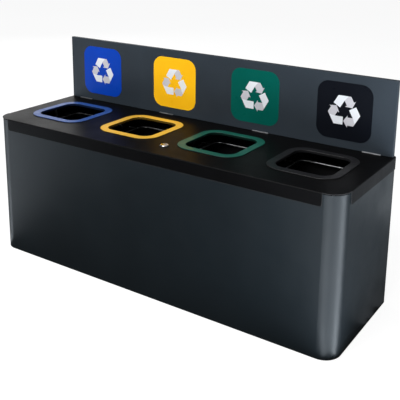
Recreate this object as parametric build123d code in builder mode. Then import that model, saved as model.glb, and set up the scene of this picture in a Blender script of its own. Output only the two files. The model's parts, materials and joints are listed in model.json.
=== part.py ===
from build123d import *
from math import cos, degrees, radians, sin
import os

# Recycling station: a long sheet-steel body with four lift-out liners under one hinged lid.
# X runs along the length, Y from front to back, Z up. The origin is the middle of the
# footprint, on the floor. All sizes are in millimetres.

# ---- overall sizes ----
LENGTH = 1400.0              # lid, from side to side
LID_DEPTH = 428.0            # lid, from the front skirt's face to the rear edge
LID_TOP = 526.0              # height of the lid's upper face
PANEL_HEIGHT = 252.0         # sign panel, above the lid
PANEL_SIDE_INSET = 5.0       # lid side to the sign panel's side
PANEL_REAR_INSET = 3.0       # lid's rear edge to the sign panel's back
PANEL_DEPTH = 15.0

# ---- sheet metal ----
SHEET = 1.5                  # body, lid, sign panel and hinge leaves
BEND = 3.0                   # outer radius of a fold
WELD_GAP = 0.2               # between two sheets that are welded or riveted together
SKIRT = 43.0                 # height of the lid's folded skirts
SKIRT_GAP = 0.5              # between a skirt and the body wall inside it
LID_CORNER = 58.0            # the lid's rounded front corners
FRONT_RELIEF = 5.0           # from the corner's round to the front skirt's end
SIDE_RELIEF = 3.0            # from the corner's round to the side skirt's start
SKIRT_TIP = 9.0              # rounding of the skirt's free lower corners
FLOOR_GAP = 4.0              # under the body's lower edge
BODY_TOP_GAP = 3.5           # between the body's upper edge and the lid's underside
RETURN = 18.0                # inward return folds at the body's rear edges

# ---- base, rails and feet ----
BASE_HEIGHT = 12.0           # underside of the base plate
BASE_FLANGE = 7.0
FOOT_R = 20.0
FOOT_TAPER = 12.0            # degrees, narrower towards the floor
FOOT_INSET_X = 95.0
FOOT_INSET_Y = 62.0
SCREW_R = 3.0
SCREW_HEAD_R = 5.5
SCREW_HEAD = 3.0
SCREW_DEPTH = 7.0            # of a foot screw in its foot
HOLE_GAP = 0.2               # radial, between a screw or rivet and its hole
SUPPORT_WIDTH = 32.0
SUPPORT_HEIGHT = 8.0
SUPPORT_INSET = 85.0
FRONT_RAIL_WIDTH = 22.0
FRONT_RAIL_HEIGHT = 24.0
FRONT_RAIL_DROP = 5.0        # rail's top below the body's upper edge
REAR_RAIL_WIDTH = 18.0
REAR_RAIL_DROP = 10.0        # rear rail's top below the lid leaf's underside plane
BUFFER_R = 7.0
BUFFERS = 4
BUFFER_INSET = 40.0
BUFFER_ROUND = 1.5
BUFFER_GAP = 0.2

# ---- openings, rings and liners ----
OPENINGS = 4
END_SPACE = 20.0             # lid side to the first and last opening's share of the length
OPENING_OFFSET_X = -3.0      # middle of the row of openings from the lid's middle
OPENING_OFFSET_Y = 3.0
RING_OUTER = 250.0
RING_INNER = 195.0
RING_OUTER_R = 65.0
RING_INNER_R = 38.0
RING_HEIGHT = 2.5
RING_WALL = 3.0
RING_COLLAR = 6.0            # collar below the lid's upper face
RING_FIT = 0.3
LUG_LENGTH = 24.0            # snap lugs on the ring's collar
LUG_HEIGHT = 3.0
LUG_REACH = 1.0
LINER_SPACING = 56.0         # between two liners' walls
LINER_MARGIN = 34.5          # lid's front or rear edge to a liner's wall
LINER_CORNER = 30.0
LINER_WALL = 2.5
LINER_TOP_DROP = 55.0        # liner's rim below the lid's upper face
LINER_LIP = 6.0
LINER_LIP_DROP = 10.0
LINER_OFFSET_Y = 1.0         # a liner's middle from the lid's middle
SEAT_GAP = 0.2               # a liner above its support rails
STOP_GAP = 2.0
STOP_HEIGHT = 25.0
STOP_DEPTH = 30.0
WIRE_R = 2.5
HOOP_INSET_X = 29.0          # liner's wall to the wire hoop's centre line
HOOP_INSET_Y = 33.0
HOOP_CORNER = 25.0
HOOK_R = 2.0
HOOK_SPACING = 220.0
HOOK_REACH = 4.5             # hook's wire centre outside the liner's lip
HOOK_DROP = 14.0

# ---- rear hinge ----
KNUCKLE_R = 6.5
PIN_R = 3.0
PIN_FIT = 0.05
PIN_OVERHANG = 1.5
PIN_CHAMFER = 0.6
KNUCKLES = 28
KNUCKLE_GAP = 0.5
LEAF_WIDTH = 33.0
LEAF_CLEAR = 0.6             # a leaf's edge from the other leaf's knuckles
RIVET_R = 2.0
RIVET_HEAD_R = 4.0
RIVET_HEAD = 1.6
RIVET_TAIL_R = 3.0
HEAD_TAPER = 35.0            # degrees, a rivet head's slope
SCREW_TAPER = 20.0
HINGE_RIVETS = 13
RIVET_INSET = 30.0
REAR_RIVETS = 4              # down each side of the rear panel
REAR_RIVET_LOW = 40.0
REAR_RIVET_TOP = 60.0

# ---- lid stays ----
OPEN_ANGLE = 72.0
STAY_R = 150.0               # from the hinge line to the middle of the bar
STAY_WIDTH = 14.0
STAY_THICKNESS = 3.0
STAY_INSET = 19.5            # lid side to the middle of the bar
STAY_HEAD_WIDTH = 24.0
STAY_HEAD_ANGLE = 3.0
STAY_FOOT = 46.0
STAY_FOOT_WIDTH = 18.0
GUIDE_ANGLE = 7.0            # guide block below the hinge line's level, about the hinge
GUIDE_HEIGHT = 8.0
GUIDE_DEPTH = 32.0
GUIDE_FIT = 0.7
GUIDE_LIP = 7.0              # guide block beyond the bar, away from the wall
STOP_MARGIN = 0.5            # degrees left between the stay's head and its guide

# ---- lock ----
LOCK_X = 26.0
LOCK_SETBACK = 84.0
LOCK_HEAD_R = 15.5
LOCK_HEAD = 5.0
LOCK_BARREL_R = 9.5
LOCK_BARREL = 20.0           # below the lid's upper face
LOCK_NUT_WIDTH = 24.0
LOCK_NUT = 5.0
LOCK_RECESS_R = 8.5
LOCK_RECESS = 1.6
PLUG_R = 6.0
PLUG_FIT = 0.05
CAM_LENGTH = 45.0
CAM_WIDTH = 16.0
CAM_THICKNESS = 2.5
CAM_GAP = 0.3
CAM_SQUARE = 8.0
CAM_SCREW = 8.0
KEEPER_LENGTH = 50.0
KEEPER_REACH = 30.0          # keeper's lower leg behind the rail
KEEPER_GAP = 1.5             # keeper above the cam
KEY_SLOT = (1.4, 7.0, 6.0)

# ---- sign panel ----
STICKER = 195.0
STICKER_R = 40.0
STICKER_THICKNESS = 0.8
STICKER_SHIFT = (-16.0, 3.0, 14.0, 13.0)  # along X, from its opening's middle
SYMBOL_BAND = 27.2           # width of a folded arrow's band
SYMBOL_INNER = 18.5          # middle of the symbol to the band's inner side
SYMBOL_TOP = 53.0            # middle of the symbol to the flat fold
SYMBOL_TAIL = 3.0            # band's end, along its side from the side's middle
SYMBOL_HEAD = -13.6          # arrow head's base, the same way
SYMBOL_TIP = 1.0
SYMBOL_OVERHANG = 7.5        # arrow head beyond the band, each side
SYMBOL_THICKNESS = 0.3
POST_R = 4.0
POST_COLUMNS = 3
POST_INSET_X = 60.0
POST_INSET_Z = 45.0
PANEL_NUT = 5.0
PANEL_NUT_R = 5.0
CLIP_LENGTH = 64.0
CLIP_DEPTH = 4.0
CLIP_HEIGHT = 3.0
CLIP_SHEET = 1.2
CLIPS = 4
CLIP_INSET = 72.5            # sign panel's side to the middle of the outer clips
BOLT_PLACES = (1.5, 3.5, 5.5)  # in hinge rivet spacings, each side of the middle

COLOURS = ("blue", "yellow", "green", "black")

# ---- places worked out from the sizes ----
half = LENGTH / 2
depth = LID_DEPTH + 2 * KNUCKLE_R
front = -depth / 2
lid_rear = front + LID_DEPTH
lid_under = LID_TOP - SHEET
hinge_y = lid_rear + KNUCKLE_R
hinge_z = lid_under - KNUCKLE_R
wall = SHEET + SKIRT_GAP                  # lid's outer face to the body's outer face
body_half = half - wall
body_front = front + wall
body_rear = lid_rear - SHEET              # the rear panel closes the last sheet
body_corner = LID_CORNER - wall
body_top = lid_under - BODY_TOP_GAP
base_top = BASE_HEIGHT + SHEET
support_top = base_top + SUPPORT_HEIGHT
rail_top = body_top - FRONT_RAIL_DROP
rail_front = body_front + SHEET + WELD_GAP
rear_rail_top = lid_under - SHEET - REAR_RAIL_DROP + WELD_GAP
panel_length = LENGTH - 2 * PANEL_SIDE_INSET
panel_top = LID_TOP + PANEL_HEIGHT
panel_rear = lid_rear - PANEL_REAR_INSET
panel_front = panel_rear - PANEL_DEPTH
sticker_z = (LID_TOP + panel_top) / 2
opening_pitch = (LENGTH - 2 * END_SPACE) / OPENINGS
opening_x = [OPENING_OFFSET_X + opening_pitch * (i - (OPENINGS - 1) / 2) for i in range(OPENINGS)]
opening_y = front + LID_DEPTH / 2 + OPENING_OFFSET_Y
sticker_x = [x + shift for x, shift in zip(opening_x, STICKER_SHIFT)]
liner_length = opening_pitch - LINER_SPACING
liner_depth = LID_DEPTH - 2 * LINER_MARGIN
liner_y = front + LID_DEPTH / 2 + LINER_OFFSET_Y
liner_base = support_top + SEAT_GAP
liner_top = LID_TOP - LINER_TOP_DROP
lock_y = front + LOCK_SETBACK
barrel_end = LID_TOP - LOCK_BARREL
cam_top = barrel_end - CAM_GAP
keeper_low = cam_top + KEEPER_GAP

os.makedirs("parts", exist_ok=True)


def save(builder, name):
    """Labels one finished node and writes its STEP file."""
    builder.part.label = name
    export_step(builder.part, f"parts/{name}.step")


def front_rounded(half_width, y_front, y_rear, radius, mode=Mode.ADD):
    """A rectangle in the current sketch whose two front corners are round."""
    with BuildSketch(mode=Mode.PRIVATE) as outline:
        with Locations((0, (y_front + y_rear) / 2)):
            Rectangle(2 * half_width, y_rear - y_front)
        fillet(outline.vertices().group_by(Axis.Y)[0], radius)
    add(outline.sketch, mode=mode)


def block(x0, x1, y0, y1, z0, z1, mode=Mode.ADD):
    """A square-edged block between two corners, in the current part."""
    with BuildSketch(Plane.XY.offset(z0)) as base:
        with Locations(((x0 + x1) / 2, (y0 + y1) / 2)):
            Rectangle(x1 - x0, y1 - y0)
    extrude(base.sketch, amount=z1 - z0, mode=mode)


def spread(count, span):
    """Even places along X, the outer two span apart."""
    return [span * (i / (count - 1) - 0.5) for i in range(count)]


def hole_gap(radius):
    return radius + HOLE_GAP


# =====================================================================
# Body: a wrapped front and sides, a rear panel and a base on feet
# =====================================================================
with BuildPart() as body_shell:
    with BuildSketch(Plane.XY.offset(FLOOR_GAP)):
        front_rounded(body_half, body_front, body_rear, body_corner)
        front_rounded(body_half - SHEET, body_front + SHEET, body_rear - SHEET,
                      body_corner - SHEET, Mode.SUBTRACT)
        with Locations((0, body_rear)):
            Rectangle(2 * (body_half - SHEET - RETURN), 4 * SHEET, mode=Mode.SUBTRACT)
    extrude(amount=body_top - FLOOR_GAP)
save(body_shell, "body_shell")

rear_rivet_x = body_half - SHEET - RETURN / 2
rear_rivet_low = FLOOR_GAP + REAR_RIVET_LOW
rear_rivet_step = (rear_rail_top - REAR_RIVET_TOP - rear_rivet_low) / (REAR_RIVETS - 1)
rear_rivet_z = [rear_rivet_low + i * rear_rivet_step for i in range(REAR_RIVETS)]
leaf_low = hinge_z - LEAF_WIDTH
leaf_rivet_z = (leaf_low + hinge_z - KNUCKLE_R) / 2
rivet_pitch = (panel_length - 2 * RIVET_INSET) / (HINGE_RIVETS - 1)
leaf_rivet_x = spread(HINGE_RIVETS, panel_length - 2 * RIVET_INSET)

with BuildPart() as rear_panel:
    block(-body_half, body_half, body_rear, lid_rear, FLOOR_GAP, rear_rail_top)
    rail_half = body_half - SHEET - RETURN - WELD_GAP
    block(-rail_half, rail_half, body_rear - REAR_RAIL_WIDTH, body_rear,
          rear_rail_top - SHEET, rear_rail_top)
    with BuildSketch(Plane.XZ.offset(-lid_rear)):
        with Locations(*[(x, leaf_rivet_z) for x in leaf_rivet_x]):
            Circle(hole_gap(RIVET_R))
        with Locations(*[(s * rear_rivet_x, z) for s in (-1, 1) for z in rear_rivet_z]):
            Circle(hole_gap(RIVET_R))
    extrude(amount=2 * SHEET, mode=Mode.SUBTRACT)
save(rear_panel, "rear_panel")

with BuildPart() as rear_panel_rivets:
    with BuildSketch(Plane.XZ.offset(-lid_rear)):
        with Locations(*[(s * rear_rivet_x, z) for s in (-1, 1) for z in rear_rivet_z]):
            Circle(RIVET_HEAD_R)
    extrude(amount=-RIVET_HEAD, taper=HEAD_TAPER)
    with BuildSketch(Plane.XZ.offset(-lid_rear)):
        with Locations(*[(s * rear_rivet_x, z) for s in (-1, 1) for z in rear_rivet_z]):
            Circle(RIVET_R)
    extrude(amount=SHEET)
save(rear_panel_rivets, "rear_panel_rivets")

foot_x = body_half - FOOT_INSET_X
foot_y = (body_rear - body_front) / 2 - FOOT_INSET_Y
middle_y = (body_front + body_rear) / 2
foot_places = [(x, middle_y + s * foot_y) for x in (-foot_x, 0, foot_x) for s in (-1, 1)]

with BuildPart() as base_plate:
    inset = SHEET + WELD_GAP
    with BuildSketch(Plane.XY.offset(BASE_HEIGHT)):
        front_rounded(body_half - inset, body_front + inset, body_rear - inset,
                      body_corner - inset)
    extrude(amount=SHEET)
    with BuildSketch(Plane.XY.offset(BASE_HEIGHT)):
        front_rounded(body_half - inset, body_front + inset, body_rear - inset,
                      body_corner - inset)
        front_rounded(body_half - inset - SHEET, body_front + inset + SHEET,
                      body_rear - inset - SHEET, body_corner - inset - SHEET, Mode.SUBTRACT)
    extrude(amount=-BASE_FLANGE)
    with BuildSketch(Plane.XY.offset(BASE_HEIGHT)):
        with Locations(*foot_places):
            Circle(hole_gap(SCREW_R))
    extrude(amount=SHEET, mode=Mode.SUBTRACT)
save(base_plate, "base_plate")

with BuildPart() as feet:
    with BuildSketch(Plane.XY.offset(BASE_HEIGHT)):
        with Locations(*foot_places):
            Circle(FOOT_R)
    extrude(amount=-BASE_HEIGHT, taper=FOOT_TAPER)
    with BuildSketch(Plane.XY.offset(BASE_HEIGHT)):
        with Locations(*foot_places):
            Circle(hole_gap(SCREW_R))
    extrude(amount=-SCREW_DEPTH - WELD_GAP, mode=Mode.SUBTRACT)
save(feet, "feet")

with BuildPart() as foot_screws:
    with BuildSketch(Plane.XY.offset(base_top)):
        with Locations(*foot_places):
            Circle(SCREW_HEAD_R)
    extrude(amount=SCREW_HEAD, taper=SCREW_TAPER)
    with BuildSketch(Plane.XY.offset(base_top)):
        with Locations(*foot_places):
            Circle(SCREW_R)
    extrude(amount=-SHEET - SCREW_DEPTH)
save(foot_screws, "foot_screws")


# ---- rails, keeper and buffers under the lid ----
rail_half = half - LID_CORNER - FRONT_RELIEF
with BuildPart() as front_rail:
    rail_back = rail_front + FRONT_RAIL_WIDTH
    block(-rail_half, rail_half, rail_front, rail_back, rail_top - SHEET, rail_top)
    block(-rail_half, rail_half, rail_front, rail_front + SHEET,
          rail_top - FRONT_RAIL_HEIGHT, rail_top - SHEET)
    outer_fold = front_rail.edges().filter_by(Axis.X).filter_by(
        lambda e: abs(e.center().Y - rail_front) < 0.01 and abs(e.center().Z - rail_top) < 0.01)
    fillet(outer_fold, SHEET)
save(front_rail, "front_rail")

with BuildPart() as lock_keeper:
    keeper_back = rail_front + FRONT_RAIL_WIDTH
    under = rail_top - SHEET
    x0 = LOCK_X - KEEPER_LENGTH / 2
    x1 = LOCK_X + KEEPER_LENGTH / 2
    block(x0, x1, rail_front + 2 * SHEET, keeper_back, under - SHEET, under)
    block(x0, x1, keeper_back - SHEET, keeper_back, keeper_low, under - SHEET)
    block(x0, x1, keeper_back, keeper_back + KEEPER_REACH, keeper_low, keeper_low + SHEET)
save(lock_keeper, "lock_keeper")

buffer_x = spread(BUFFERS, 2 * (rail_half - BUFFER_INSET))
with BuildPart() as lid_buffers:
    with BuildSketch(Plane.XY.offset(rail_top)):
        with Locations(*[(x, rail_front + FRONT_RAIL_WIDTH / 2) for x in buffer_x]):
            Circle(BUFFER_R)
    extrude(amount=lid_under - BUFFER_GAP - rail_top)
    fillet(lid_buffers.edges().group_by(Axis.Z)[-1], BUFFER_ROUND)
save(lid_buffers, "lid_buffers")

support_half = body_half - 2 * SHEET - 2 * WELD_GAP
with BuildPart() as support_rails:
    for side in (-1, 1):
        y_mid = liner_y + side * (liner_depth / 2 - SUPPORT_INSET)
        with BuildSketch(Plane.YZ.offset(-support_half)) as hat:
            with Locations((y_mid, base_top + SUPPORT_HEIGHT / 2)):
                Rectangle(SUPPORT_WIDTH, SUPPORT_HEIGHT)
            with Locations((y_mid, base_top + (SUPPORT_HEIGHT - SHEET) / 2)):
                Rectangle(SUPPORT_WIDTH - 2 * SHEET, SUPPORT_HEIGHT - SHEET, mode=Mode.SUBTRACT)
        extrude(hat.sketch, amount=2 * support_half)
save(support_rails, "support_rails")

# brackets that hold the liners in line, between them and at both ends
stop_limits = [-body_half + SHEET + WELD_GAP]
for x in opening_x:
    stop_limits += [x - liner_length / 2 - STOP_GAP, x + liner_length / 2 + STOP_GAP]
stop_limits.append(body_half - SHEET - WELD_GAP)

with BuildPart() as liner_stops:
    for x0, x1 in zip(stop_limits[::2], stop_limits[1::2]):
        for side in (-1, 1):
            y_mid = liner_y + side * (liner_depth / 2 - SUPPORT_INSET)
            y0 = y_mid - STOP_DEPTH / 2
            y1 = y_mid + STOP_DEPTH / 2
            top = support_top + STOP_HEIGHT
            block(x0, x1, y0, y1, support_top, top)
            block(x0 + SHEET, x1 - SHEET, y0, y1, support_top, top - SHEET, Mode.SUBTRACT)
save(liner_stops, "liner_stops")

# =====================================================================
# Rear hinge: two leaves with alternate knuckles on one pin
# =====================================================================
knuckle_pitch = panel_length / KNUCKLES
knuckle_x = [-panel_length / 2 + KNUCKLE_GAP / 2 + i * knuckle_pitch for i in range(KNUCKLES)]


def knuckles(places, tab):
    """Knuckles with their tabs, at these places along X, in the current part."""
    for x in places:
        with BuildSketch(Plane.YZ.offset(x)) as curl:
            with Locations((hinge_y, hinge_z)):
                Circle(KNUCKLE_R)
            y0, y1, z0, z1 = tab
            with Locations(((y0 + y1) / 2, (z0 + z1) / 2)):
                Rectangle(y1 - y0, z1 - z0)
            with Locations((hinge_y, hinge_z)):
                Circle(PIN_R + PIN_FIT, mode=Mode.SUBTRACT)
        extrude(curl.sketch, amount=knuckle_pitch - KNUCKLE_GAP)


with BuildPart() as hinge_body_leaf:
    edge = hinge_z - KNUCKLE_R - LEAF_CLEAR
    block(-panel_length / 2, panel_length / 2, lid_rear, lid_rear + SHEET, leaf_low, edge)
    knuckles(knuckle_x[::2], (lid_rear, lid_rear + SHEET, edge, hinge_z))
    with BuildSketch(Plane.XZ.offset(-lid_rear)) as holes:
        with Locations(*[(x, leaf_rivet_z) for x in leaf_rivet_x]):
            Circle(hole_gap(RIVET_R))
    extrude(holes.sketch, amount=-2 * SHEET, mode=Mode.SUBTRACT)
save(hinge_body_leaf, "hinge_body_leaf")

lid_leaf_front = hinge_y - LEAF_WIDTH
lid_rivet_y = (panel_front + panel_rear) / 2
bolt_x = [s * k * rivet_pitch for s in (-1, 1) for k in BOLT_PLACES]

with BuildPart() as hinge_lid_leaf:
    edge = hinge_y - KNUCKLE_R - LEAF_CLEAR
    low = lid_under - SHEET
    block(-panel_length / 2, panel_length / 2, lid_leaf_front, edge, low, lid_under)
    knuckles(knuckle_x[1::2], (edge, hinge_y, low, lid_under))
    with BuildSketch(Plane.XY.offset(low)) as holes:
        with Locations(*[(x, lid_rivet_y) for x in leaf_rivet_x]):
            Circle(hole_gap(RIVET_R))
        with Locations(*[(x, lid_rivet_y) for x in bolt_x]):
            Circle(hole_gap(SCREW_R))
    extrude(holes.sketch, amount=SHEET, mode=Mode.SUBTRACT)
save(hinge_lid_leaf, "hinge_lid_leaf")

with BuildPart() as hinge_pin:
    with BuildSketch(Plane.YZ.offset(-panel_length / 2 - PIN_OVERHANG)):
        with Locations((hinge_y, hinge_z)):
            Circle(PIN_R)
    extrude(amount=panel_length + 2 * PIN_OVERHANG)
    chamfer(hinge_pin.edges().filter_by(GeomType.CIRCLE), PIN_CHAMFER)
save(hinge_pin, "hinge_pin")

with BuildPart() as hinge_rivets_body:
    with BuildSketch(Plane.XZ.offset(-lid_rear - SHEET)) as heads:
        with Locations(*[(x, leaf_rivet_z) for x in leaf_rivet_x]):
            Circle(RIVET_HEAD_R)
    extrude(heads.sketch, amount=-RIVET_HEAD, taper=HEAD_TAPER)
    with BuildSketch(Plane.XZ.offset(-lid_rear - SHEET)) as shanks:
        with Locations(*[(x, leaf_rivet_z) for x in leaf_rivet_x]):
            Circle(RIVET_R)
    extrude(shanks.sketch, amount=2 * SHEET)
    with BuildSketch(Plane.XZ.offset(-body_rear)) as tails:
        with Locations(*[(x, leaf_rivet_z) for x in leaf_rivet_x]):
            Circle(RIVET_TAIL_R)
    extrude(tails.sketch, amount=RIVET_HEAD)
save(hinge_rivets_body, "hinge_rivets_body")

# =====================================================================
# Lid: a sheet with folded skirts, coloured rings, the sign panel and the stays
# =====================================================================
side_skirt_front = front + LID_CORNER + SIDE_RELIEF
cutout = RING_INNER + 2 * (RING_WALL + RING_FIT)
cutout_r = RING_INNER_R + RING_WALL + RING_FIT


def fold_section(edge, inward):
    """Section of a folded skirt in the current sketch; edge is its outer face."""
    with BuildSketch(mode=Mode.PRIVATE) as section:
        with Locations((edge + inward * (BEND + SHEET) / 2, LID_TOP - SHEET / 2)):
            Rectangle(BEND + SHEET, SHEET)
        with Locations((edge + inward * SHEET / 2, LID_TOP - SKIRT / 2)):
            Rectangle(SHEET, SKIRT)
        outer = section.vertices().sort_by_distance((edge, LID_TOP, 0))[0]
        fillet(outer, BEND)
        inner = section.vertices().sort_by_distance((edge + inward * SHEET, lid_under, 0))[0]
        fillet(inner, BEND - SHEET)
    add(section.sketch)


with BuildPart() as lid:
    with BuildSketch(Plane.XY.offset(lid_under)):
        front_rounded(half, front, lid_rear, LID_CORNER)
        with Locations((0, front)):
            Rectangle(2 * rail_half, 2 * BEND, mode=Mode.SUBTRACT)
        side_length = lid_rear - side_skirt_front
        with Locations(*[(s * half, side_skirt_front + side_length / 2) for s in (-1, 1)]):
            Rectangle(2 * BEND, side_length, mode=Mode.SUBTRACT)
        with Locations(*[(x, opening_y) for x in opening_x]):
            RectangleRounded(cutout, cutout, cutout_r, mode=Mode.SUBTRACT)
        with Locations((LOCK_X, lock_y)):
            Circle(hole_gap(LOCK_BARREL_R), mode=Mode.SUBTRACT)
        with Locations(*[(x, lid_rivet_y) for x in leaf_rivet_x]):
            Circle(hole_gap(RIVET_R), mode=Mode.SUBTRACT)
        with Locations(*[(x, lid_rivet_y) for x in bolt_x]):
            Circle(hole_gap(SCREW_R), mode=Mode.SUBTRACT)
    extrude(amount=SHEET)
    with BuildSketch(Plane.YZ.offset(-rail_half)):
        fold_section(front, 1)
    extrude(amount=2 * rail_half)
    with BuildSketch(Plane.XZ.offset(-side_skirt_front)):
        fold_section(-half, 1)
        fold_section(half, -1)
    extrude(amount=-side_length)
    low_edges = lid.edges().filter_by(lambda e: abs(e.center().Z - (LID_TOP - SKIRT)) < 0.01)
    front_tips = low_edges.filter_by(Axis.Y).filter_by(lambda e: e.length < 2 * SHEET)
    side_tips = low_edges.filter_by(Axis.X).filter_by(lambda e: e.length < 2 * SHEET)
    fillet(front_tips, SKIRT_TIP)
    fillet(side_tips.group_by(Axis.Y)[0], SKIRT_TIP)
save(lid, "lid")

with BuildPart() as hinge_rivets_lid:
    with BuildSketch(Plane.XY.offset(LID_TOP)):
        with Locations(*[(x, lid_rivet_y) for x in leaf_rivet_x]):
            Circle(RIVET_R)
    extrude(amount=-2 * SHEET)
    with BuildSketch(Plane.XY.offset(lid_under - SHEET)):
        with Locations(*[(x, lid_rivet_y) for x in leaf_rivet_x]):
            Circle(RIVET_HEAD_R)
    extrude(amount=-RIVET_HEAD, taper=HEAD_TAPER)
save(hinge_rivets_lid, "hinge_rivets_lid")

# ---- a coloured ring in each opening, held by lugs under the lid ----
for x, colour in zip(opening_x, COLOURS):
    with BuildPart() as ring:
        with BuildSketch(Plane.XY.offset(LID_TOP)):
            with Locations((x, opening_y)):
                RectangleRounded(RING_OUTER, RING_OUTER, RING_OUTER_R)
        extrude(amount=RING_HEIGHT)
        with BuildSketch(Plane.XY.offset(LID_TOP)):
            with Locations((x, opening_y)):
                RectangleRounded(RING_INNER + 2 * RING_WALL, RING_INNER + 2 * RING_WALL,
                                 RING_INNER_R + RING_WALL)
        extrude(amount=-RING_COLLAR)
        lug = RING_INNER / 2 + RING_WALL + LUG_REACH
        lug_half = LUG_LENGTH / 2
        lug_top = lid_under - WELD_GAP
        lug_low = lug_top - LUG_HEIGHT
        block(x - lug, x + lug, opening_y - lug_half, opening_y + lug_half, lug_low, lug_top)
        block(x - lug_half, x + lug_half, opening_y - lug, opening_y + lug, lug_low, lug_top)
        with BuildSketch(Plane.XY.offset(LID_TOP - RING_COLLAR)):
            with Locations((x, opening_y)):
                RectangleRounded(RING_INNER, RING_INNER, RING_INNER_R)
        extrude(amount=RING_COLLAR + RING_HEIGHT, mode=Mode.SUBTRACT)
        fillet(ring.edges().group_by(Axis.Z)[-1], RING_HEIGHT / 2)
    save(ring, f"ring_{colour}")

# ---- sign panel: a folded tray with its back, posts, bolts and foot clips ----
panel_half = panel_length / 2
post_places = [(x, z) for x in spread(POST_COLUMNS, panel_length - 2 * POST_INSET_X)
               for z in (LID_TOP + POST_INSET_Z, panel_top - POST_INSET_Z)]

with BuildPart() as sign_panel:
    block(-panel_half, panel_half, panel_front, panel_rear, LID_TOP, panel_top)
    outline = sign_panel.faces().sort_by(Axis.Y)[0].edges()
    fillet(outline, SHEET)
    block(-panel_half + SHEET, panel_half - SHEET, panel_front + SHEET, panel_rear,
          LID_TOP + SHEET, panel_top - SHEET, Mode.SUBTRACT)
    with BuildSketch(Plane.XY.offset(LID_TOP)):
        with Locations(*[(x, lid_rivet_y) for x in bolt_x]):
            Circle(hole_gap(SCREW_R))
    extrude(amount=SHEET, mode=Mode.SUBTRACT)
save(sign_panel, "sign_panel")

with BuildPart() as panel_back:
    inset = SHEET + WELD_GAP
    block(-panel_half + inset, panel_half - inset, panel_rear - SHEET, panel_rear,
          LID_TOP + inset, panel_top - inset)
    with BuildSketch(Plane.XZ.offset(-panel_rear)):
        with Locations(*post_places):
            Circle(hole_gap(RIVET_R))
    extrude(amount=SHEET, mode=Mode.SUBTRACT)
save(panel_back, "panel_back")

with BuildPart() as panel_posts:
    with BuildSketch(Plane.XZ.offset(-panel_front - SHEET)):
        with Locations(*post_places):
            Circle(POST_R)
    extrude(amount=-PANEL_DEPTH + 2 * SHEET)
    with BuildSketch(Plane.XZ.offset(-panel_rear)):
        with Locations(*post_places):
            Circle(hole_gap(RIVET_R))
    extrude(amount=PANEL_DEPTH - 3 * SHEET, mode=Mode.SUBTRACT)
save(panel_posts, "panel_posts")

with BuildPart() as panel_back_screws:
    with BuildSketch(Plane.XZ.offset(-panel_rear)):
        with Locations(*post_places):
            Circle(RIVET_HEAD_R)
    extrude(amount=-RIVET_HEAD, taper=SCREW_TAPER)
    with BuildSketch(Plane.XZ.offset(-panel_rear)):
        with Locations(*post_places):
            Circle(RIVET_R)
    extrude(amount=PANEL_DEPTH - 4 * SHEET)
save(panel_back_screws, "panel_back_screws")

with BuildPart() as panel_bolts:
    with BuildSketch(Plane.XY.offset(lid_under - SHEET)):
        with Locations(*[(x, lid_rivet_y) for x in bolt_x]):
            RegularPolygon(SCREW_HEAD_R, 6)
    extrude(amount=-SCREW_HEAD)
    with BuildSketch(Plane.XY.offset(lid_under - SHEET)):
        with Locations(*[(x, lid_rivet_y) for x in bolt_x]):
            Circle(SCREW_R)
    extrude(amount=3 * SHEET + PANEL_NUT)
save(panel_bolts, "panel_bolts")

with BuildPart() as panel_nuts:
    with BuildSketch(Plane.XY.offset(LID_TOP + SHEET)):
        with Locations(*[(x, lid_rivet_y) for x in bolt_x]):
            Circle(PANEL_NUT_R)
            Circle(hole_gap(SCREW_R), mode=Mode.SUBTRACT)
    extrude(amount=PANEL_NUT)
save(panel_nuts, "panel_nuts")

with BuildPart() as panel_clips:
    for x in spread(CLIPS, panel_length - 2 * CLIP_INSET):
        block(x - CLIP_LENGTH / 2, x + CLIP_LENGTH / 2, panel_front - CLIP_DEPTH, panel_front,
              LID_TOP, LID_TOP + CLIP_SHEET)
        block(x - CLIP_LENGTH / 2, x + CLIP_LENGTH / 2, panel_front - CLIP_SHEET, panel_front,
              LID_TOP + CLIP_SHEET, LID_TOP + CLIP_HEIGHT)
save(panel_clips, "panel_clips")

for x, colour in zip(sticker_x, COLOURS):
    with BuildPart() as sticker:
        with BuildSketch(Plane.XZ.offset(-panel_front)):
            with Locations((x, sticker_z)):
                RectangleRounded(STICKER, STICKER, STICKER_R)
        extrude(amount=STICKER_THICKNESS)
    save(sticker, f"sticker_{colour}")



def along(normal, out, run):
    """A point at a distance out along a normal, in degrees, and run along the side it faces."""
    a = radians(normal)
    return (out * cos(a) + run * sin(a), out * sin(a) - run * cos(a))


band_outer = SYMBOL_INNER + SYMBOL_BAND
band_middle = SYMBOL_INNER + SYMBOL_BAND / 2
head_half = SYMBOL_BAND / 2 + SYMBOL_OVERHANG
top_corner = (band_outer - SYMBOL_TOP * sin(radians(30))) / cos(radians(30))
arrow_outline = [
    along(150, SYMBOL_INNER, SYMBOL_TAIL),
    (0, 2 * SYMBOL_INNER),
    along(30, SYMBOL_INNER, SYMBOL_HEAD),
    along(30, band_middle - head_half, SYMBOL_HEAD),
    along(30, band_middle, SYMBOL_TIP),
    along(30, band_middle + head_half, SYMBOL_HEAD),
    along(30, band_outer, SYMBOL_HEAD),
    (top_corner, SYMBOL_TOP),
    (-top_corner, SYMBOL_TOP),
    along(150, band_outer, SYMBOL_TAIL),
]

with BuildPart() as symbols:
    for x in sticker_x:
        for turn in (0, 120, 240):
            with BuildSketch(Plane.XZ.offset(-panel_front + STICKER_THICKNESS)) as arrow:
                with Locations(Location((x, sticker_z), turn)):
                    Polygon(*arrow_outline, align=None)
            extrude(arrow.sketch, amount=SYMBOL_THICKNESS)
save(symbols, "symbols")

# ---- lid stays: curved bars about the hinge line, each in a guide on the side wall ----
half_guide = degrees(GUIDE_HEIGHT / 2 / STAY_R)
stay_end = OPEN_ANGLE + GUIDE_ANGLE + half_guide + STOP_MARGIN


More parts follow.
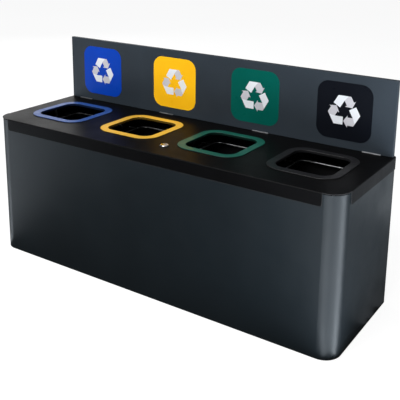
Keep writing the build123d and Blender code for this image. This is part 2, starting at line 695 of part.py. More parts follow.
def arc_bar(inner, outer, start, end):
    """A piece of flat ring about the hinge line; angles run down from straight ahead."""
    with BuildSketch(mode=Mode.PRIVATE) as sector:
        with BuildLine():
            rim = CenterArc((hinge_y, hinge_z), outer, 180 + start, end - start)
            core = CenterArc((hinge_y, hinge_z), inner, 180 + start, end - start)
            Line(rim @ 0, core @ 0)
            Line(rim @ 1, core @ 1)
        make_face()
    add(sector.sketch)


for side, place in ((-1, "left"), (1, "right")):
    bar_x = side * (half - STAY_INSET)
    stay_front = hinge_y - STAY_R
    with BuildPart() as stay:
        with BuildSketch(Plane.YZ.offset(bar_x - STAY_THICKNESS / 2)):
            arc_bar(STAY_R - STAY_WIDTH / 2, STAY_R + STAY_WIDTH / 2, 0, stay_end)
            arc_bar(STAY_R - STAY_HEAD_WIDTH / 2, STAY_R + STAY_HEAD_WIDTH / 2,
                    stay_end, stay_end + STAY_HEAD_ANGLE)
            with Locations((stay_front, (hinge_z + lid_under) / 2)):
                Rectangle(STAY_WIDTH, lid_under - hinge_z)
        extrude(amount=STAY_THICKNESS)
        foot_x0, foot_x1 = sorted((bar_x + side * STAY_THICKNESS / 2,
                                   bar_x - side * (STAY_FOOT_WIDTH - STAY_THICKNESS / 2)))
        block(foot_x0, foot_x1, stay_front - STAY_FOOT / 2, stay_front + STAY_FOOT / 2,
              lid_under - STAY_THICKNESS, lid_under)
    save(stay, f"stay_{place}")

with BuildPart() as stay_guides:
    guide_y = hinge_y - STAY_R * cos(radians(GUIDE_ANGLE))
    guide_z = hinge_z - STAY_R * sin(radians(GUIDE_ANGLE))
    bar_half = STAY_THICKNESS / 2 + GUIDE_FIT
    for side in (-1, 1):
        bar_x = side * (half - STAY_INSET)
        x0, x1 = sorted((side * (body_half - SHEET - WELD_GAP),
                         bar_x - side * (STAY_THICKNESS / 2 + GUIDE_LIP)))
        with BuildSketch(Plane.YZ.offset(x0)) as guide:
            with Locations(Location((guide_y, guide_z), GUIDE_ANGLE)):
                Rectangle(GUIDE_DEPTH, GUIDE_HEIGHT)
        extrude(guide.sketch, amount=x1 - x0)
        with BuildSketch(Plane.YZ.offset(bar_x - bar_half)) as slot:
            arc_bar(STAY_R - STAY_WIDTH / 2 - GUIDE_FIT, STAY_R + STAY_WIDTH / 2 + GUIDE_FIT,
                    GUIDE_ANGLE - 2 * half_guide, GUIDE_ANGLE + 2 * half_guide)
        extrude(slot.sketch, amount=2 * bar_half, mode=Mode.SUBTRACT)
save(stay_guides, "stay_guides")

# ---- cam lock ----
head_top = LID_TOP + LOCK_HEAD
with BuildPart() as lock_housing:
    with BuildSketch(Plane.XY.offset(barrel_end)):
        with Locations((LOCK_X, lock_y)):
            Circle(LOCK_BARREL_R)
    extrude(amount=LOCK_BARREL)
    with BuildSketch(Plane.XY.offset(LID_TOP)):
        with Locations((LOCK_X, lock_y)):
            Circle(LOCK_HEAD_R)
    extrude(amount=LOCK_HEAD)
    fillet(lock_housing.edges().group_by(Axis.Z)[-1], LOCK_HEAD - LOCK_RECESS)
    with BuildSketch(Plane.XY.offset(head_top)):
        with Locations((LOCK_X, lock_y)):
            Circle(LOCK_RECESS_R)
    extrude(amount=-LOCK_RECESS, mode=Mode.SUBTRACT)
    with BuildSketch(Plane.XY.offset(barrel_end)):
        with Locations((LOCK_X, lock_y)):
            Circle(PLUG_R + PLUG_FIT)
    extrude(amount=LOCK_BARREL + LOCK_HEAD, mode=Mode.SUBTRACT)
save(lock_housing, "lock_housing")

with BuildPart() as lock_nut:
    with BuildSketch(Plane.XY.offset(lid_under)):
        with Locations((LOCK_X, lock_y)):
            RegularPolygon(LOCK_NUT_WIDTH / 2, 6, major_radius=False)
            Circle(LOCK_BARREL_R + PLUG_FIT, mode=Mode.SUBTRACT)
    extrude(amount=-LOCK_NUT)
save(lock_nut, "lock_nut")

with BuildPart() as lock_plug:
    plug_top = head_top - LOCK_RECESS / 2
    key_width, key_length, key_depth = KEY_SLOT
    with BuildSketch(Plane.XY.offset(cam_top)):
        with Locations((LOCK_X, lock_y)):
            Circle(PLUG_R)
    extrude(amount=plug_top - cam_top)
    with BuildSketch(Plane.XY.offset(cam_top)):
        with Locations((LOCK_X, lock_y)):
            Rectangle(CAM_SQUARE, CAM_SQUARE)
    extrude(amount=-CAM_THICKNESS)
    with BuildSketch(Plane.XY.offset(plug_top)):
        with Locations((LOCK_X, lock_y)):
            Rectangle(key_length, key_width)
    extrude(amount=-key_depth, mode=Mode.SUBTRACT)
    with BuildSketch(Plane.XY.offset(cam_top - CAM_THICKNESS)):
        with Locations((LOCK_X, lock_y)):
            Circle(hole_gap(RIVET_R))
    extrude(amount=CAM_SCREW + WELD_GAP, mode=Mode.SUBTRACT)
save(lock_plug, "lock_plug")

with BuildPart() as lock_cam:
    with BuildSketch(Plane.XY.offset(cam_top)):
        with Locations((LOCK_X, lock_y)):
            Circle(CAM_WIDTH / 2)
        with Locations((LOCK_X - CAM_LENGTH / 2, lock_y)):
            Rectangle(CAM_LENGTH, CAM_WIDTH)
        with Locations((LOCK_X, lock_y)):
            Rectangle(CAM_SQUARE + 2 * PLUG_FIT, CAM_SQUARE + 2 * PLUG_FIT, mode=Mode.SUBTRACT)
    extrude(amount=-CAM_THICKNESS)
    fillet(lock_cam.edges().filter_by(Axis.Z).group_by(Axis.X)[0], CAM_WIDTH / 4)
save(lock_cam, "lock_cam")

with BuildPart() as cam_screw:
    with BuildSketch(Plane.XY.offset(cam_top - CAM_THICKNESS)):
        with Locations((LOCK_X, lock_y)):
            Circle(SCREW_HEAD_R)
    extrude(amount=-SCREW_HEAD, taper=SCREW_TAPER)
    with BuildSketch(Plane.XY.offset(cam_top - CAM_THICKNESS)):
        with Locations((LOCK_X, lock_y)):
            Circle(RIVET_R)
    extrude(amount=CAM_SCREW)
save(cam_screw, "cam_screw")

# =====================================================================
# Liners: an open bin under each ring, with a wire hoop for its bag
# =====================================================================
lip_length = liner_length + 2 * LINER_LIP
lip_depth = liner_depth + 2 * LINER_LIP
hoop_length = liner_length - 2 * HOOP_INSET_X
hoop_depth = liner_depth - 2 * HOOP_INSET_Y
hoop_z = liner_top + SEAT_GAP + WIRE_R
hook_x = lip_length / 2 + HOOK_REACH

for number, x in enumerate(opening_x, 1):
    with BuildPart() as liner:
        with BuildSketch(Plane.XY.offset(liner_base)):
            with Locations((x, liner_y)):
                RectangleRounded(liner_length, liner_depth, LINER_CORNER)
        extrude(amount=liner_top - liner_base)
        with BuildSketch(Plane.XY.offset(liner_top - LINER_LIP_DROP)):
            with Locations((x, liner_y)):
                RectangleRounded(lip_length, lip_depth, LINER_CORNER + LINER_LIP)
        extrude(amount=LINER_LIP_DROP)
        with BuildSketch(Plane.XY.offset(liner_top - LINER_LIP_DROP)):
            with Locations((x, liner_y)):
                RectangleRounded(lip_length - 2 * LINER_WALL, lip_depth - 2 * LINER_WALL,
                                 LINER_CORNER + LINER_LIP - LINER_WALL)
                RectangleRounded(liner_length, liner_depth, LINER_CORNER, mode=Mode.SUBTRACT)
        extrude(amount=LINER_LIP_DROP - LINER_WALL, mode=Mode.SUBTRACT)
        with BuildSketch(Plane.XY.offset(liner_base + LINER_WALL)):
            with Locations((x, liner_y)):
                RectangleRounded(liner_length - 2 * LINER_WALL, liner_depth - 2 * LINER_WALL,
                                 LINER_CORNER - LINER_WALL)
        extrude(amount=liner_top, mode=Mode.SUBTRACT)
    save(liner, f"liner_{number}")

    with BuildPart() as bag_hoop:
        with BuildSketch(Plane.XY.offset(hoop_z), mode=Mode.PRIVATE) as loop:
            with Locations((x, liner_y)):
                RectangleRounded(hoop_length, hoop_depth, HOOP_CORNER)
        hoop_path = loop.sketch.face().outer_wire()
        with BuildSketch(Plane(hoop_path @ 0, z_dir=hoop_path % 0)) as hoop_wire:
            Circle(WIRE_R)
        sweep(sections=hoop_wire.sketch, path=hoop_path)
        for side in (-1, 1):
            for y in (liner_y - HOOK_SPACING / 2, liner_y + HOOK_SPACING / 2):
                start = (x + side * hoop_length / 2, y, hoop_z)
                with BuildLine() as hook:
                    FilletPolyline(start, (x + side * hook_x, y, hoop_z),
                                   (x + side * hook_x, y, hoop_z - HOOK_DROP), radius=2 * HOOK_R)
                with BuildSketch(Plane(start, z_dir=(side, 0, 0))) as wire:
                    Circle(HOOK_R)
                sweep(sections=wire.sketch, path=hook.line)
    save(bag_hoop, f"bag_hoop_{number}")
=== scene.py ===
import json
import math

import bmesh
import bpy
from mathutils import Matrix, Vector


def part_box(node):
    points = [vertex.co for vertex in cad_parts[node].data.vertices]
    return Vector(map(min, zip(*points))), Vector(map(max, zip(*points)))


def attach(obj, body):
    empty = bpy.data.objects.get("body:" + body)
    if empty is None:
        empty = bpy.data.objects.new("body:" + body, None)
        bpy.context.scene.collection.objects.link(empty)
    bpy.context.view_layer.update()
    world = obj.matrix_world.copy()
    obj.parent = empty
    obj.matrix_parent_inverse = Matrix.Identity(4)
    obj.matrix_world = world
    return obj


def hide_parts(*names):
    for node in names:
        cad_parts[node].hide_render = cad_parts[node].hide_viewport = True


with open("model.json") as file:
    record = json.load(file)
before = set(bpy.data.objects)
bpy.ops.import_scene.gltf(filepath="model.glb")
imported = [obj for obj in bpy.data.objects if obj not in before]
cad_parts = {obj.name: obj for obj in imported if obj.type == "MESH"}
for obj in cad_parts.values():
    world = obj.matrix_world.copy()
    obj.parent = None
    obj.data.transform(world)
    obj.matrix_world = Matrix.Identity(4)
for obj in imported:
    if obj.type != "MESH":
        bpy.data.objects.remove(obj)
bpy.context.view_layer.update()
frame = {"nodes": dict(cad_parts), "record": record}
scene = bpy.context.scene
scene.view_settings.view_transform = "Standard"

# ---- colours, linear ----
# painted shade: the body's paint is set darker than the same paint on the panel
BODY_SHADED_ANTHRACITE = (0.0046, 0.0078, 0.0102)
PANEL_GREY = (0.0260, 0.0335, 0.0420)
LID_BLACK = (0.0017, 0.0016, 0.0018)
LID_FOLD_HIGHLIGHT = (0.080, 0.080, 0.082)     # painted highlight along the lid's folds
BLUE = (0.003, 0.050, 0.420)
YELLOW = (1.000, 0.500, 0.010)
GREEN = (0.001, 0.092, 0.070)
BLACK = (0.0045, 0.0055, 0.0085)
RING_BLUE = (0.020, 0.070, 0.260)
RING_YELLOW = (0.760, 0.440, 0.045)
RING_GREEN = (0.005, 0.085, 0.060)
RING_BLACK = (0.0070, 0.0070, 0.0080)
RING_WALL_SHADE = 0.12                    # painted shade: a coloured ring's upright faces darkened against its top
WHITE = (0.760, 0.775, 0.800)
SILVER = (0.560, 0.545, 0.575)
STEEL = (0.450, 0.455, 0.465)
CHROME = (0.720, 0.735, 0.750)
RUBBER = (0.010, 0.010, 0.011)
NYLON = (0.014, 0.014, 0.015)
LINER = (0.0060, 0.0062, 0.0068)


# =====================================================================
# Materials
# =====================================================================
class Nodes:
    """A small helper that adds linked shader nodes to one material."""

    def __init__(self, name):
        self.material = bpy.data.materials.new(name)
        self.material.use_nodes = True
        self.tree = self.material.node_tree
        self.shader = self.tree.nodes["Principled BSDF"]
        coordinates = self.add("ShaderNodeTexCoord")
        self.place = coordinates.outputs["Object"]

    def add(self, kind):
        return self.tree.nodes.new(kind)

    def link(self, source, target):
        self.tree.links.new(source, target)

    def stretched(self, scale):
        mapping = self.add("ShaderNodeMapping")
        mapping.inputs["Scale"].default_value = scale
        self.link(self.place, mapping.inputs["Vector"])
        return mapping.outputs["Vector"]

    def noise(self, scale, detail=3.0, roughness=0.5, place=None):
        node = self.add("ShaderNodeTexNoise")
        node.inputs["Scale"].default_value = scale
        node.inputs["Detail"].default_value = detail
        node.inputs["Roughness"].default_value = roughness
        self.link(place or self.place, node.inputs["Vector"])
        return node.outputs["Fac"]

    def ramp(self, value, low, high, out_low=0.0, out_high=1.0):
        node = self.add("ShaderNodeMapRange")
        node.inputs["From Min"].default_value = low
        node.inputs["From Max"].default_value = high
        node.inputs["To Min"].default_value = out_low
        node.inputs["To Max"].default_value = out_high
        self.link(value, node.inputs["Value"])
        return node.outputs["Result"]

    def math(self, kind, a, b):
        node = self.add("ShaderNodeMath")
        node.operation = kind
        for socket, value in zip(node.inputs, (a, b)):
            if isinstance(value, float):
                socket.default_value = value
            else:
                self.link(value, socket)
        return node.outputs["Value"]

    def mix(self, factor, a, b):
        node = self.add("ShaderNodeMix")
        node.data_type = "RGBA"
        colours = [s for s in node.inputs if s.type == "RGBA"]
        if isinstance(factor, float):
            node.inputs[0].default_value = factor
        else:
            self.link(factor, node.inputs[0])
        for socket, value in zip(colours, (a, b)):
            if isinstance(value, tuple):
                socket.default_value = (*value, 1.0)
            else:
                self.link(value, socket)
        return [s for s in node.outputs if s.type == "RGBA"][0]

    def edges(self, radius, start=0.97, end=0.80):
        """1 on an edge, 0 away from it."""
        bevel = self.add("ShaderNodeBevel")
        bevel.samples = 4
        bevel.inputs["Radius"].default_value = radius
        geometry = self.add("ShaderNodeNewGeometry")
        dot = self.add("ShaderNodeVectorMath")
        dot.operation = "DOT_PRODUCT"
        self.link(bevel.outputs["Normal"], dot.inputs[0])
        self.link(geometry.outputs["Normal"], dot.inputs[1])
        return self.ramp(dot.outputs["Value"], end, start, 1.0, 0.0)

    def upright(self):
        """1 on a wall, 0 on a face that looks up or down."""
        place = self.add("ShaderNodeTexCoord")
        parts = self.add("ShaderNodeSeparateXYZ")
        self.link(place.outputs["Normal"], parts.inputs[0])
        return self.ramp(self.math("ABSOLUTE", parts.outputs["Z"], 0.0), 0.70, 0.20)

    def bump(self, height, strength, distance, under=None):
        node = self.add("ShaderNodeBump")
        node.inputs["Strength"].default_value = strength
        node.inputs["Distance"].default_value = distance
        self.link(height, node.inputs["Height"])
        if under:
            self.link(under, node.inputs["Normal"])
        return node.outputs["Normal"]


POWDER_GRAIN = 1400.0         # noise scales, in features per metre
ORANGE_PEEL = 420.0
RUBBED_EDGE = 0.0012          # how far edge marks reach from an edge, in metres: rubbed wear, scuffs, and painted highlights along folds and vinyl edges
FOLD_HIGHLIGHT_REACH = 0.0022
VINYL_HIGHLIGHT_EDGE = 0.0011
MOULDED_EDGE = 0.0010
METAL_EDGE = 0.0006
FINE_RELIEF = 0.0002          # heights of surface relief, in metres
PEEL_RELIEF = 0.0004
VINYL_RELIEF = 0.0006
BRUSHED_RELIEF = 0.0001


def scaled(colour, factor):
    return tuple(min(1.0, c * factor) for c in colour)


def powder_coat(name, colour, gloss=0.42, specular=0.20, wear=0.35, fold_highlight=None):
    """Satin powder coat: fine orange-peel grain, faint clouding, dust, rubbed edges and, when given, a
    painted highlight along the folds.
    """
    n = Nodes(name)
    shader = n.shader
    shader.inputs["Specular IOR Level"].default_value = specular
    grain = n.noise(POWDER_GRAIN, 2.0, 0.6)
    peel = n.noise(ORANGE_PEEL, 2.0)
    cloud = n.noise(3.5, 4.0, 0.55)
    dust = n.noise(60.0, 6.0, 0.7)
    tint = n.mix(n.ramp(cloud, 0.35, 0.65), scaled(colour, 0.90), scaled(colour, 1.12))
    tint = n.mix(n.ramp(grain, 0.45, 0.75, 0.0, 0.35), tint, scaled(colour, 1.7))
    tint = n.mix(n.ramp(dust, 0.60, 0.80, 0.0, 0.10), tint, scaled(colour, 3.0))
    rubbed = n.math("MULTIPLY", n.edges(RUBBED_EDGE), n.ramp(n.noise(38.0, 4.0, 0.6), 0.38, 0.62))
    rubbed = n.math("MULTIPLY", rubbed, wear)
    tint = n.mix(rubbed, tint, scaled(colour, 7.0))
    # painted highlight along the folds, where a highlight colour is given
    if fold_highlight:
        tint = n.mix(n.math("MULTIPLY", n.edges(FOLD_HIGHLIGHT_REACH, 0.995, 0.90), 0.75), tint, fold_highlight)
    n.link(tint, shader.inputs["Base Color"])
    soft = n.ramp(n.noise(9.0, 5.0, 0.6), 0.3, 0.7, gloss - 0.04, gloss + 0.06)
    n.link(n.math("ADD", soft, n.ramp(grain, 0.3, 0.7, -0.03, 0.03)), shader.inputs["Roughness"])
    fine = n.bump(grain, 0.10, FINE_RELIEF)
    n.link(n.bump(peel, 0.14, PEEL_RELIEF, fine), shader.inputs["Normal"])
    return n.material


def film(name, colour, gloss=0.32, specular=0.07):
    """Printed vinyl: even colour with faint clouding, tiny dust, soft ripples and a painted highlight
    along its edges.
    """
    n = Nodes(name)
    shader = n.shader
    shader.inputs["Specular IOR Level"].default_value = specular
    cloud = n.noise(8.0, 3.0)
    speck = n.noise(500.0, 2.0, 0.6)
    tint = n.mix(n.ramp(cloud, 0.3, 0.7), scaled(colour, 0.93), scaled(colour, 1.06))
    tint = n.mix(n.ramp(speck, 0.62, 0.80, 0.0, 0.18), tint, scaled(colour, 1.35))
    # painted highlight along the vinyl's edges
    edge = n.math("MULTIPLY", n.edges(VINYL_HIGHLIGHT_EDGE), 0.30)
    n.link(n.mix(edge, tint, scaled(colour, 1.8)), shader.inputs["Base Color"])
    soft = n.ramp(n.noise(40.0, 4.0), 0.3, 0.7, gloss - 0.05, gloss + 0.08)
    n.link(soft, shader.inputs["Roughness"])
    n.link(n.bump(n.noise(26.0, 2.0), 0.10, VINYL_RELIEF), shader.inputs["Normal"])
    return n.material


def moulded(name, colour, gloss=0.40, specular=0.35, grain_scale=900.0, wear=0.25, wall=1.0):
    """Moulded plastic or rubber: spark-eroded grain, slight random tone changes, scuffed edges and,
    with wall below 1, painted shade on upright faces.
    """
    n = Nodes(name)
    shader = n.shader
    shader.inputs["Specular IOR Level"].default_value = specular
    grain = n.noise(grain_scale, 3.0, 0.6)
    cloud = n.noise(6.0, 3.0)
    tint = n.mix(n.ramp(cloud, 0.3, 0.7), scaled(colour, 0.90), scaled(colour, 1.10))
    scuff = n.math("MULTIPLY", n.edges(MOULDED_EDGE), n.ramp(n.noise(55.0, 4.0), 0.4, 0.65))
    tint = n.mix(n.math("MULTIPLY", scuff, wear), tint, scaled(colour, 2.6))
    # painted shade on upright faces, where wall is below 1
    if wall < 1.0:
        tint = n.mix(n.upright(), tint, scaled(colour, wall))
    n.link(tint, shader.inputs["Base Color"])
    soft = n.ramp(n.noise(30.0, 5.0, 0.6), 0.3, 0.7, gloss - 0.06, gloss + 0.08)
    n.link(soft, shader.inputs["Roughness"])
    n.link(n.bump(grain, 0.12, FINE_RELIEF), shader.inputs["Normal"])
    return n.material


def metal(name, colour, gloss, brushed, spangle=0.0, wear=0.2):
    """Bare or plated metal, with fine lines along X or plated spangle."""
    n = Nodes(name)
    shader = n.shader
    shader.inputs["Metallic"].default_value = 1.0
    lines = n.noise(1.0, 3.0, 0.6, n.stretched((40.0, 2600.0, 2600.0)))
    cloud = n.noise(90.0, 3.0, 0.6)
    patches = n.ramp(cloud, 0.35, 0.65, 0.0, 0.5 + spangle)
    tint = n.mix(patches, scaled(colour, 0.86), scaled(colour, 1.08))
    dull = n.math("MULTIPLY", n.ramp(n.noise(25.0, 5.0, 0.6), 0.55, 0.75), 0.30)
    tint = n.mix(dull, tint, scaled(colour, 0.60))
    tint = n.mix(n.math("MULTIPLY", n.edges(METAL_EDGE), wear), tint, scaled(colour, 1.30))
    n.link(tint, shader.inputs["Base Color"])
    rough = n.ramp(cloud, 0.3, 0.7, gloss - 0.04, gloss + 0.07)
    n.link(n.math("ADD", rough, n.ramp(lines, 0.3, 0.7, -0.03, 0.03)), shader.inputs["Roughness"])
    n.link(n.bump(lines, brushed, BRUSHED_RELIEF), shader.inputs["Normal"])
    return n.material


LOOKS = {
    "body_paint": powder_coat("body_paint_look", BODY_SHADED_ANTHRACITE, 0.40, 0.30),
    "lid_paint": powder_coat("lid_paint_look", LID_BLACK, 0.42, 0.07, 0.60, LID_FOLD_HIGHLIGHT),
    "panel_paint": powder_coat("panel_paint_look", PANEL_GREY, 0.44, 0.16),
    "ring_blue": moulded("ring_blue_look", RING_BLUE, wall=RING_WALL_SHADE),
    "ring_yellow": moulded("ring_yellow_look", RING_YELLOW, wall=RING_WALL_SHADE),
    "ring_green": moulded("ring_green_look", RING_GREEN, wall=RING_WALL_SHADE),
    "ring_black": moulded("ring_black_look", RING_BLACK),
    "sticker_blue": film("sticker_blue_look", BLUE),
    "sticker_yellow": film("sticker_yellow_look", YELLOW),
    "sticker_green": film("sticker_green_look", GREEN),
    "sticker_black": film("sticker_black_look", BLACK),
    "symbol_white": film("symbol_white_look", WHITE),
    "zinc": metal("zinc_look", STEEL, 0.34, 0.10, 0.4),
    "chrome": metal("chrome_look", CHROME, 0.10, 0.03),
    "rubber": moulded("rubber_look", RUBBER, 0.62, 0.25, 700.0),
    "nylon": moulded("nylon_look", NYLON, 0.46, 0.35, 1100.0),
    "liner_plastic": moulded("liner_look", LINER, 0.46, 0.25, 650.0),
}
SYMBOL_SHADE = film("symbol_shade_look", SILVER)

for part in frame["record"]["subparts"]:
    node = frame["nodes"][part["node"]]
    for slot in node.material_slots:
        slot.material = LOOKS[part["material_slot"]]


# =====================================================================
# Folded arrow symbols on the stickers, in two shades
# =====================================================================
SYMBOL_BAND = 0.0272          # width of the folded band
SYMBOL_INNER = 0.0185         # from the middle to the band's inner side
SYMBOL_TOP = 0.0530           # from the middle to the flat fold
SYMBOL_FOLD = 0.0130          # where the shade changes, along the flat fold
SYMBOL_TAIL = 0.0030          # the band's end, along its side from the side's middle
HEAD_BASE = -0.0136           # the arrow head's base and tip, the same way
HEAD_TIP = 0.0010
HEAD_OVERHANG = 0.0075        # arrow head beyond the band, each side
SYMBOL_LIFT = 0.0003          # thickness, in front of the sticker
COLOURS = ("blue", "yellow", "green", "black")


def along(normal_degrees, out, run):
    """A point at a distance out along a normal and run along the side it belongs to."""
    a = math.radians(normal_degrees)
    return Vector((out * math.cos(a) + run * math.sin(a), out * math.sin(a) - run * math.cos(a)))


def arrow_outlines():
    """The light and the shaded face of the top arrow, about the symbol's middle."""
    outer = SYMBOL_INNER + SYMBOL_BAND
    middle = SYMBOL_INNER + SYMBOL_BAND / 2
    corner = (outer - SYMBOL_TOP / 2) / math.cos(math.radians(30))
    apex = Vector((0.0, 2 * SYMBOL_INNER))
    fold = Vector((SYMBOL_FOLD, SYMBOL_TOP))
    light = [along(150, SYMBOL_INNER, SYMBOL_TAIL), apex, fold, Vector((-corner, SYMBOL_TOP)),
             along(150, outer, SYMBOL_TAIL)]
    half_head = SYMBOL_BAND / 2 + HEAD_OVERHANG
    shaded = [apex, along(30, SYMBOL_INNER, HEAD_BASE), along(30, middle - half_head, HEAD_BASE),
              along(30, middle, HEAD_TIP), along(30, middle + half_head, HEAD_BASE),
              along(30, outer, HEAD_BASE), Vector((corner, SYMBOL_TOP)), fold]
    return light, shaded


def make_symbols():
    """Three folded arrows on each sticker, as one thin piece that rides the lid."""
    mesh = bpy.data.meshes.new("folded_arrow_symbols")
    piece = bpy.data.objects.new("folded_arrow_symbols", mesh)
    scene.collection.objects.link(piece)
    bm = bmesh.new()
    for colour in COLOURS:
        low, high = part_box(f"sticker_{colour}")
        centre = (low + high) / 2
        for turn in (0, 120, 240):
            spin = Matrix.Rotation(math.radians(-turn), 2)
            for shade, outline in enumerate(arrow_outlines()):
                points = [spin @ p for p in outline]
                front, back = ([bm.verts.new((centre.x + p.x, y, centre.z + p.y)) for p in points]
                               for y in (low.y - SYMBOL_LIFT, low.y))
                faces = [bm.faces.new(front), bm.faces.new(back[::-1])]
                for i in range(len(points)):
                    j = (i + 1) % len(points)
                    faces.append(bm.faces.new((front[j], front[i], back[i], back[j])))
                for face in faces:
                    face.material_index = shade
    bmesh.ops.recalc_face_normals(bm, faces=bm.faces)
    bm.to_mesh(mesh)
    bm.free()
    mesh.materials.append(LOOKS["symbol_white"])
    mesh.materials.append(SYMBOL_SHADE)
    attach(piece, "lid")
    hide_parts("symbols")


make_symbols()


# =====================================================================
# Floor, light and camera
# =====================================================================
def grid_plane(name, half_size, height):
    """A flat square of faces about the origin."""
    mesh = bpy.data.meshes.new(name)
    plane = bpy.data.objects.new(name, mesh)
    scene.collection.objects.link(plane)
    bm = bmesh.new()
    bmesh.ops.create_grid(bm, x_segments=4, y_segments=4, size=half_size)
    bmesh.ops.translate(bm, verts=bm.verts, vec=(0, 0, height))
    bm.to_mesh(mesh)
    bm.free()
    return plane


def seen_and_unseen(tree, seen, unseen):
    """The first shader where the camera looks straight at it, the second for bounced light."""
    path = tree.nodes.new("ShaderNodeLightPath")
    mix = tree.nodes.new("ShaderNodeMixShader")
    tree.links.new(path.outputs["Is Camera Ray"], mix.inputs[0])
    tree.links.new(unseen, mix.inputs[1])
    tree.links.new(seen, mix.inputs[2])
    return mix.outputs[0]


FLOOR_REACH = 60.0
FLOOR_ALBEDO = 0.20
FLOOR_CLOUDING = 0.01
FLOOR_GLOW = 0.90             # a light table under the white floor
FLOOR_BOUNCE = 0.12           # the floor's share of bounced light, as under black flags
WORLD_SEEN = 1.0
WORLD_BOUNCE = 0.16
BOUNCED_SKY = (0.93, 0.97, 1.0, 1.0)

floor = grid_plane("floor", FLOOR_REACH, 0.0)
floor_look = Nodes("floor_look")
clouding = floor_look.ramp(floor_look.noise(0.8), 0.3, 0.7)
light_tone = (FLOOR_ALBEDO + FLOOR_CLOUDING,) * 3
dark_tone = (FLOOR_ALBEDO - FLOOR_CLOUDING,) * 3
floor_look.link(floor_look.mix(clouding, dark_tone, light_tone), floor_look.shader.inputs["Base Color"])
floor_look.shader.inputs["Roughness"].default_value = 0.9
floor_look.shader.inputs["Specular IOR Level"].default_value = 0.0
glow = floor_look.add("ShaderNodeEmission")
glow.inputs["Strength"].default_value = FLOOR_GLOW
bright = floor_look.add("ShaderNodeAddShader")
floor_look.link(floor_look.shader.outputs[0], bright.inputs[0])
floor_look.link(glow.outputs[0], bright.inputs[1])
flagged = floor_look.add("ShaderNodeBsdfDiffuse")
flagged.inputs["Color"].default_value = (FLOOR_BOUNCE, FLOOR_BOUNCE, FLOOR_BOUNCE, 1.0)
output = floor_look.tree.nodes["Material Output"]
floor_look.link(seen_and_unseen(floor_look.tree, bright.outputs[0], flagged.outputs[0]),
                output.inputs["Surface"])
floor.data.materials.append(floor_look.material)


COOL = (0.84, 0.92, 1.0)
NEUTRAL = (1.0, 1.0, 1.0)
FAN_HEIGHT = 0.01             # floor cards lie just above the floor
FAN_START = 0.03              # from the body to the first card
FAN_GROWTH = 2.2              # each card's far edge against its near edge
FAN_REACH = 1.8
CORNER = 0.056                # the body's rounded front corners
BODY_LOW, BODY_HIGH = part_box("body_shell")
LEFT_CORNER = (BODY_LOW.x + CORNER / 3, BODY_LOW.y + CORNER / 3)
RIGHT_CORNER = (BODY_HIGH.x - CORNER / 3, BODY_LOW.y + CORNER / 3)
LEFT_SIDE = (BODY_LOW.x, 0.0)
RIGHT_SIDE = (BODY_HIGH.x, 0.0)
BACK = (0.0, BODY_HIGH.y)
FANS = (                      # name, start, direction, width over distance, radiance
    ("fan_left", LEFT_CORNER, (-0.86, -0.50), 0.22, 6.0),
    ("fan_right", RIGHT_CORNER, (0.99, 0.12), 0.55, 9.5),
    ("fan_right_front", RIGHT_CORNER, (0.85, -0.52), 0.55, 4.2),
    ("fan_right_low", RIGHT_CORNER, (0.50, -0.86), 0.55, 2.6),
    ("fan_right_wide", RIGHT_CORNER, (0.12, -0.99), 0.80, 5.2),
    ("fan_side", RIGHT_SIDE, (0.40, 0.90), 0.80, 0.18),
    ("fan_left_side", LEFT_SIDE, (-1.00, 0.00), 1.20, 0.50),
    ("fan_back", BACK, (0.00, 1.00), 2.00, 0.80),
)


def light_card(name, place, width, height, radiance, colour):
    """A rectangular area lamp of even radiance that the camera doesn't see."""
    data = bpy.data.lights.new(name, "AREA")
    data.shape = "RECTANGLE"
    data.size = width
    data.size_y = height
    data.energy = radiance * width * height * math.pi
    data.color = colour
    lamp = bpy.data.objects.new(name, data)
    lamp.location = place
    lamp.visible_camera = False
    scene.collection.objects.link(lamp)
    return lamp


def soft_box(name, place, target, width, height, radiance):
    """A light card that faces a point."""
    lamp = light_card(name, place, width, height, radiance, NEUTRAL)
    lamp.rotation_euler = (Vector(target) - Vector(place)).to_track_quat("-Z", "Y").to_euler()


soft_box("back_left", (-4.2, 2.8, 1.9), (-0.5, 0.0, 0.5), 3.0, 1.8, 1.8)
soft_box("front_high", (-0.3, -3.4, 4.0), (0.0, 0.0, 0.3), 4.0, 2.6, 8.0)
soft_box("overhead", (0.0, 0.3, 4.5), (0.0, 0.0, 0.0), 5.0, 3.0, 0.8)


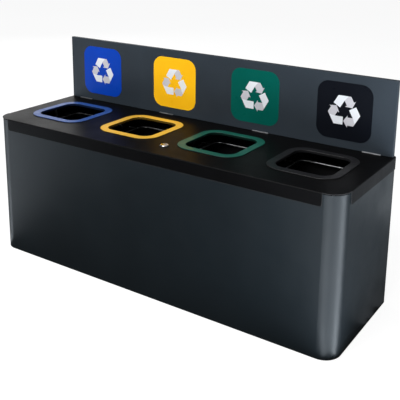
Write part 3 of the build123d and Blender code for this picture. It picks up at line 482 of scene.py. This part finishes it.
def floor_fan(name, start, direction, spread_ratio, radiance):
    """Cards of light on the floor that face up and widen away from a point beside the body."""
    run = Vector((*direction, 0.0)).normalized()
    near = FAN_START
    while near < FAN_REACH:
        far = near * FAN_GROWTH
        reach = (near + far) / 2
        place = Vector((*start, FAN_HEIGHT)) + run * reach
        lamp = light_card(name, place, far - near, spread_ratio * reach, radiance, COOL)
        lamp.rotation_euler = (math.pi, 0.0, math.atan2(run.y, run.x))
        near = far


for fan in FANS:
    floor_fan(*fan)

world = bpy.data.worlds.new("studio")
world.use_nodes = True
sky = world.node_tree.nodes["Background"]
sky.inputs["Color"].default_value = (*NEUTRAL, 1.0)
sky.inputs["Strength"].default_value = WORLD_SEEN
dim_sky = world.node_tree.nodes.new("ShaderNodeBackground")
dim_sky.inputs["Color"].default_value = BOUNCED_SKY
dim_sky.inputs["Strength"].default_value = WORLD_BOUNCE
world.node_tree.links.new(seen_and_unseen(world.node_tree, sky.outputs[0], dim_sky.outputs[0]),
                          world.node_tree.nodes["World Output"].inputs["Surface"])
scene.world = world

CAMERA_PLACE = (1.395021, -1.963421, 1.268890)
CAMERA_TURN = 0.571822        # radians, away from straight ahead
CAMERA_TILT = 0.243643
CAMERA_ROLL = 0.015073
FOCAL_MM = 64.637
SENSOR_MM = 36.0
SHIFT = (-0.035, -0.2625)
CLIP_END = 200.0

forward = Vector((-math.sin(CAMERA_TURN) * math.cos(CAMERA_TILT),
                  math.cos(CAMERA_TURN) * math.cos(CAMERA_TILT), -math.sin(CAMERA_TILT)))
right = forward.cross(Vector((0, 0, 1))).normalized()
up = right.cross(forward)
right_rolled = math.cos(CAMERA_ROLL) * right + math.sin(CAMERA_ROLL) * up
up_rolled = -math.sin(CAMERA_ROLL) * right + math.cos(CAMERA_ROLL) * up
camera_data = bpy.data.cameras.new("camera")
camera_data.sensor_width = SENSOR_MM
camera_data.lens = FOCAL_MM
camera_data.shift_x, camera_data.shift_y = SHIFT
camera_data.clip_end = CLIP_END
camera = bpy.data.objects.new("camera", camera_data)
turn = Matrix((right_rolled, up_rolled, -forward)).transposed()
camera.matrix_world = Matrix.Translation(CAMERA_PLACE) @ turn.to_4x4()
scene.collection.objects.link(camera)
scene.camera = camera
